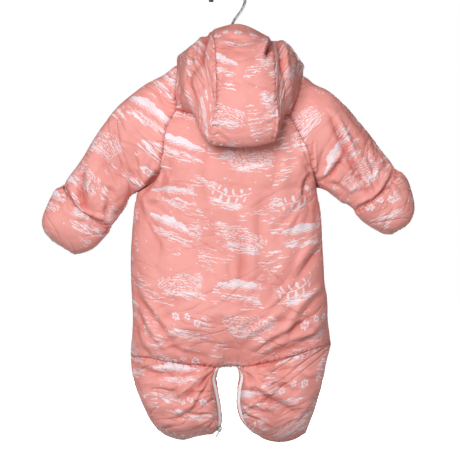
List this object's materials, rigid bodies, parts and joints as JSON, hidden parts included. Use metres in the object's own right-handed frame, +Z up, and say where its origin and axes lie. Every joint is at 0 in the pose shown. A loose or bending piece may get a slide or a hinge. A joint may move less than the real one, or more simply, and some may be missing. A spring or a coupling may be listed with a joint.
{
  "type": "baby snowsuit on a hanger",
  "caption": "Hooded padded baby snowsuit with fold-over mittens and closed feet, hung on a child's hanger by its wire hook.",
  "frame": {"origin": "top of the inside of the hanger's hook, where the rail bears", "axes": "+Z up, +Y out of the front with the zips, +X to the wearer's right"},
  "size_m": [0.5219, 0.1609, 0.65],
  "materials": {
    "shell_cloth": "matte woven coral-pink shell with a white print",
    "zip_tape": "white woven zip tape with a coil",
    "zip_metal": "satin silver zinc",
    "hanger_arms": "smooth white plastic",
    "hook_steel": "polished wire",
    "hook_cap": "black plastic tip"
  },
  "bodies": {
    "suit": {"back": "shell_cloth", "back_leg_left": "shell_cloth", "back_leg_right": "shell_cloth", "front_left": "shell_cloth", "front_right": "shell_cloth", "front_slider": "zip_metal", "front_zip": "zip_tape", "hanger_bar": "hanger_arms", "hanger_hook": "hook_steel", "hood_middle": "shell_cloth", "hood_side_left": "shell_cloth", "hood_side_right": "shell_cloth", "hook_tip": "hook_cap", "leg_slider": "zip_metal", "leg_zip": "zip_tape", "mitten_left": "shell_cloth", "mitten_right": "shell_cloth", "sleeve_left": "shell_cloth", "sleeve_right": "shell_cloth"},
    "front_pull": {"front_pull": "zip_metal"},
    "leg_pull": {"leg_pull": "zip_metal"}
  },
  "joints": [
    {"name": "front_pull_hinge", "type": "hinge", "parent": "suit", "child": "front_pull", "pos_m": [0.00104, 0.05124, -0.16379], "axis": [0.9999, -0.0113, -0.0007], "range_deg": [0, 150]},
    {"name": "leg_pull_hinge", "type": "hinge", "parent": "suit", "child": "leg_pull", "pos_m": [-0.01108, -0.00486, -0.62777], "axis": [-0.422, -0.879, -0.2222], "range_deg": [0, 150]}
  ]
}
